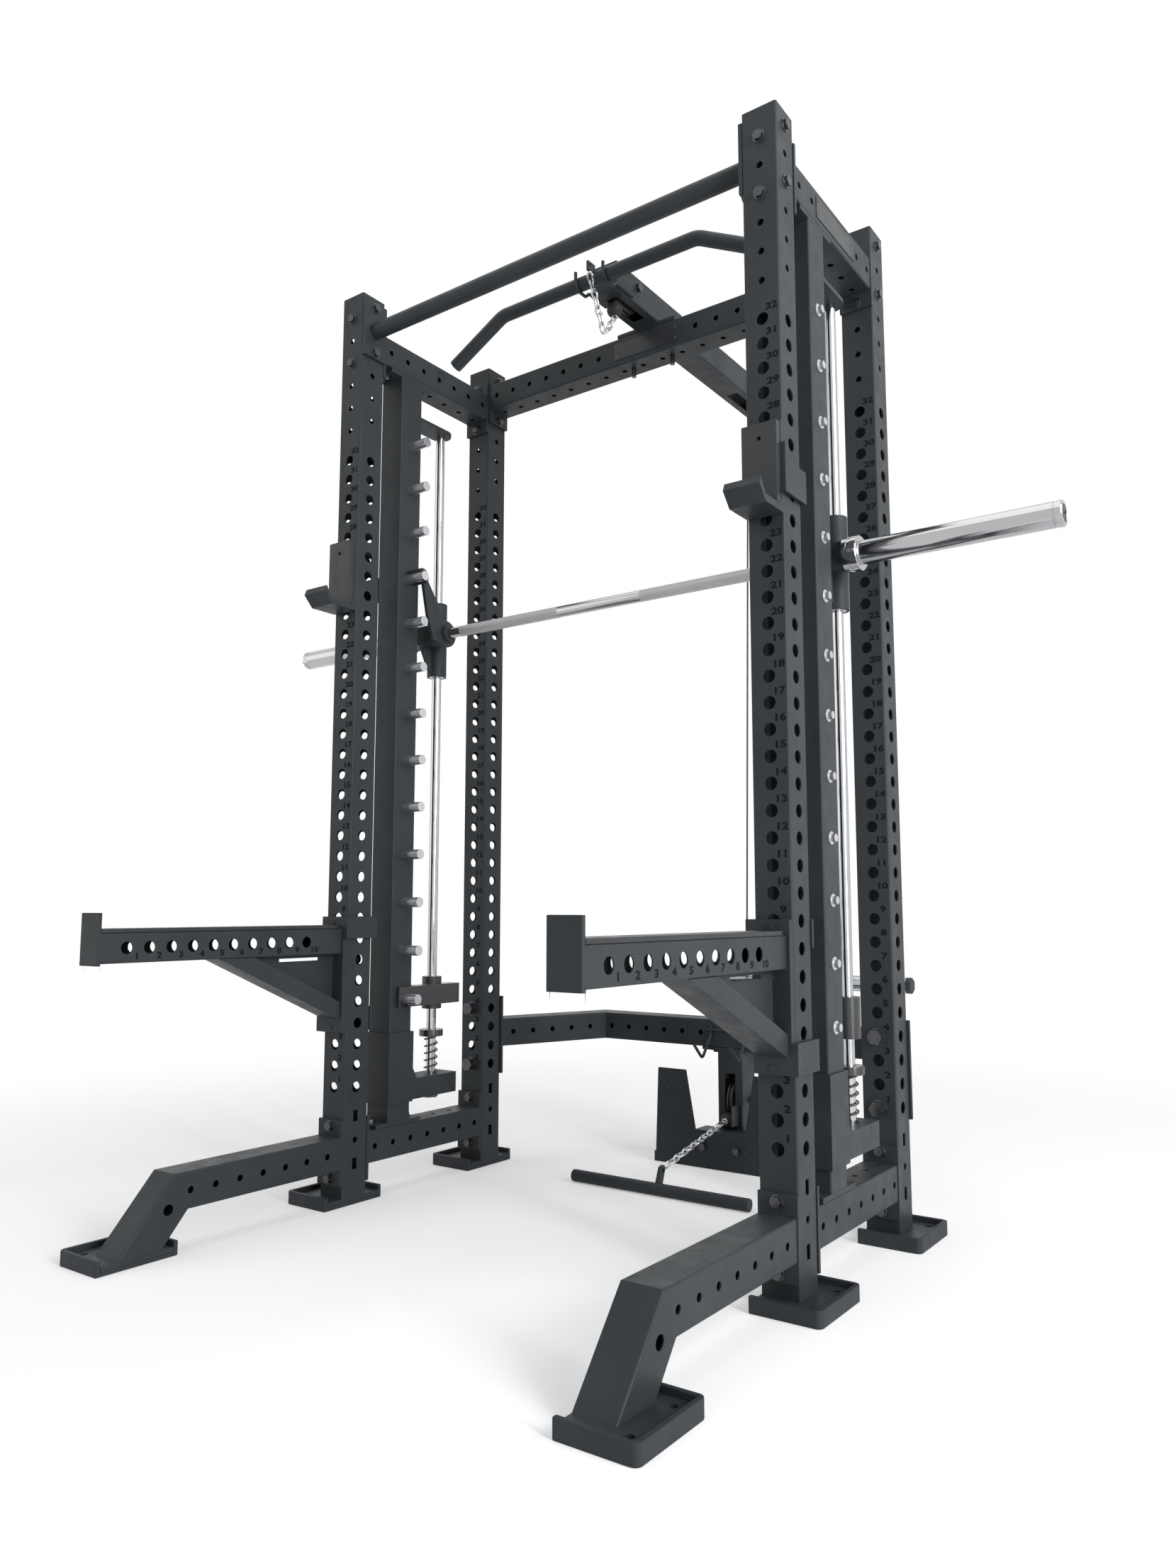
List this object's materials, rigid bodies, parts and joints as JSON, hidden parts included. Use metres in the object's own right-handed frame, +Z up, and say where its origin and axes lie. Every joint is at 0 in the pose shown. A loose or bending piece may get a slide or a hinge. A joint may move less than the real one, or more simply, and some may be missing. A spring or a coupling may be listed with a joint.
{
  "type": "power cage",
  "caption": "Half rack with a guided bar on side rods, bar cups, safety arms, pull-up bar and a plate-loaded high and low cable station",
  "frame": {"origin": "centre of the bounding box at floor level", "axes": "+X to the right seen from the front, +Y to the back, +Z up"},
  "size_m": [2.09, 1.908, 2.316],
  "materials": {
    "frame_paint": "matte powder coat with a fine texture",
    "rubber_boot": "matte moulded rubber",
    "nameplate": "bare satin plate",
    "peg_steel": "satin",
    "rod_chrome": "hard chrome",
    "bar_chrome": "polished",
    "spring_steel": "black coated spring wire",
    "bumper": "satin",
    "bearing": "satin",
    "bolt_silver": "zinc plated",
    "liner": "matte",
    "pulley": "matte nylon",
    "cable": "coated steel cable",
    "stop_rubber": "matte",
    "chain": "zinc plated",
    "cap": "matte",
    "fastener": "black zinc"
  },
  "bodies": {
    "frame": {"upright_front_left": "frame_paint", "upright_front_right": "frame_paint", "upright_back_left": "frame_paint", "upright_back_right": "frame_paint", "rubber_boots": "rubber_boot", "front_legs": "frame_paint", "side_beams_lower": "frame_paint", "side_beams_upper": "frame_paint", "back_crossmember": "frame_paint", "pull_up_bar": "frame_paint", "nameplates": "nameplate", "slider_posts": "frame_paint", "hook_pegs": "peg_steel", "rod_brackets": "frame_paint", "guide_rods": "rod_chrome", "rear_frame": "frame_paint", "bar_cradle": "frame_paint", "low_row_post": "frame_paint", "foot_plate": "frame_paint", "high_beam": "frame_paint", "lat_cable": "cable", "falls": "cable", "row_cable": "cable", "lat_stop_ball": "stop_rubber", "lat_chain_short": "chain", "frame_fasteners": "fastener"},
    "smith_carriage": {"sliders": "frame_paint", "slider_bearings": "bearing"},
    "smith_bar": {"smith_bar_shaft": "bar_chrome", "bar_sleeves": "bar_chrome", "hooks": "frame_paint", "hook_bolts": "bolt_silver"},
    "stop_left": {"stop_block_left": "frame_paint"},
    "stop_right": {"stop_block_right": "frame_paint"},
    "bumper_left": {"bumper_disc_left": "bumper", "bumper_spring_left": "spring_steel"},
    "bumper_right": {"bumper_disc_right": "bumper", "bumper_spring_right": "spring_steel"},
    "cup_left": {"cup_left": "frame_paint", "cup_liner_left": "liner"},
    "cup_right": {"cup_right": "frame_paint", "cup_liner_right": "liner"},
    "arm_left": {"arm_left": "frame_paint", "arm_liner_left": "liner"},
    "arm_right": {"arm_right": "frame_paint", "arm_liner_right": "liner"},
    "lat_bar": {"lat_bar": "frame_paint", "lat_chain_long": "chain"},
    "weight_carriage": {"weight_carriage": "frame_paint", "weight_horns": "bar_chrome", "horn_caps": "cap", "float_wrap": "cable"},
    "row_handle": {"row_bar": "frame_paint", "row_chain": "chain", "row_stop_ball": "stop_rubber"},
    "front_wheel": {"pulley_front": "pulley"},
    "back_wheel": {"pulley_back": "pulley"},
    "riser_wheel": {"pulley_riser": "pulley"},
    "low_wheel": {"pulley_low": "pulley"},
    "float_wheel": {"pulley_float": "pulley"}
  },
  "joints": [
    {"name": "carriage_slide", "type": "slide", "parent": "frame", "child": "smith_carriage", "axis": [0, 0, 1], "range_m": [-0.8, 0.4]},
    {"name": "bar_turn", "type": "hinge", "parent": "smith_carriage", "child": "smith_bar", "pos_m": [0, -0.044, 1.416], "axis": [-1, 0, 0], "range_deg": [0, 40]},
    {"name": "stop_left_lift", "type": "slide", "parent": "frame", "child": "stop_left", "axis": [0, 0, 1], "range_m": [0, 0.06]},
    {"name": "stop_right_lift", "type": "slide", "parent": "frame", "child": "stop_right", "axis": [0, 0, 1], "range_m": [0, 0.06]},
    {"name": "bumper_left_press", "type": "slide", "parent": "frame", "child": "bumper_left", "axis": [0, 0, 1], "range_m": [-0.04, 0], "stiffness_N_per_m": 4000, "springref_m": 0.002, "deforming": ["bumper_spring_left"]},
    {"name": "bumper_right_press", "type": "slide", "parent": "frame", "child": "bumper_right", "axis": [0, 0, 1], "range_m": [-0.04, 0], "stiffness_N_per_m": 4000, "springref_m": 0.002, "deforming": ["bumper_spring_right"]},
    {"name": "cup_left_swing", "type": "hinge", "parent": "frame", "child": "cup_left", "pos_m": [-0.5775, -0.286, 1.57], "axis": [0, 1, 0], "range_deg": [0, 90]},
    {"name": "cup_right_swing", "type": "hinge", "parent": "frame", "child": "cup_right", "pos_m": [0.5775, -0.286, 1.57], "axis": [0, -1, 0], "range_deg": [0, 90]},
    {"name": "arm_left_swing", "type": "hinge", "parent": "frame", "child": "arm_left", "pos_m": [-0.5775, -0.286, 0.57], "axis": [0, 1, 0], "range_deg": [0, 90]},
    {"name": "arm_right_swing", "type": "hinge", "parent": "frame", "child": "arm_right", "pos_m": [0.5775, -0.286, 0.57], "axis": [0, -1, 0], "range_deg": [0, 90]},
    {"name": "lat_bar_lift", "type": "slide", "parent": "frame", "child": "lat_bar", "axis": [0, 0, 1], "range_m": [0, 0.06], "deforming": ["lat_chain_long"]},
    {"name": "weight_lift", "type": "slide", "parent": "frame", "child": "weight_carriage", "axis": [0, 0, 1], "range_m": [0, 0.35], "deforming": ["falls"]},
    {"name": "row_pull", "type": "slide", "parent": "frame", "child": "row_handle", "axis": [0, -1, 0], "range_m": [0, 0.7]},
    {"name": "front_wheel_turn", "type": "hinge", "parent": "frame", "child": "front_wheel", "pos_m": [0, 0.074, 2.262], "axis": [1, 0, 0], "continuous": true},
    {"name": "back_wheel_turn", "type": "hinge", "parent": "frame", "child": "back_wheel", "pos_m": [0, 0.889, 2.272], "axis": [1, 0, 0], "continuous": true},
    {"name": "riser_wheel_turn", "type": "hinge", "parent": "frame", "child": "riser_wheel", "pos_m": [0, 0.789, 2.245], "axis": [1, 0, 0], "range_deg": [0, 1003]},
    {"name": "low_wheel_turn", "type": "hinge", "parent": "frame", "child": "low_wheel", "pos_m": [0, 0.619, 0.173], "axis": [-1, 0, 0], "range_deg": [0, 803]},
    {"name": "float_wheel_turn", "type": "hinge", "parent": "weight_carriage", "child": "float_wheel", "pos_m": [0, 0.879, 0.6], "axis": [-1, 0, 0], "range_deg": [0, 402]}
  ],
  "couplings": [
    {"joint": "row_pull", "follows": "weight_lift", "ratio": 2},
    {"joint": "riser_wheel_turn", "follows": "weight_lift", "rad_per_m": 50},
    {"joint": "low_wheel_turn", "follows": "weight_lift", "rad_per_m": 40},
    {"joint": "float_wheel_turn", "follows": "weight_lift", "rad_per_m": 20}
  ]
}
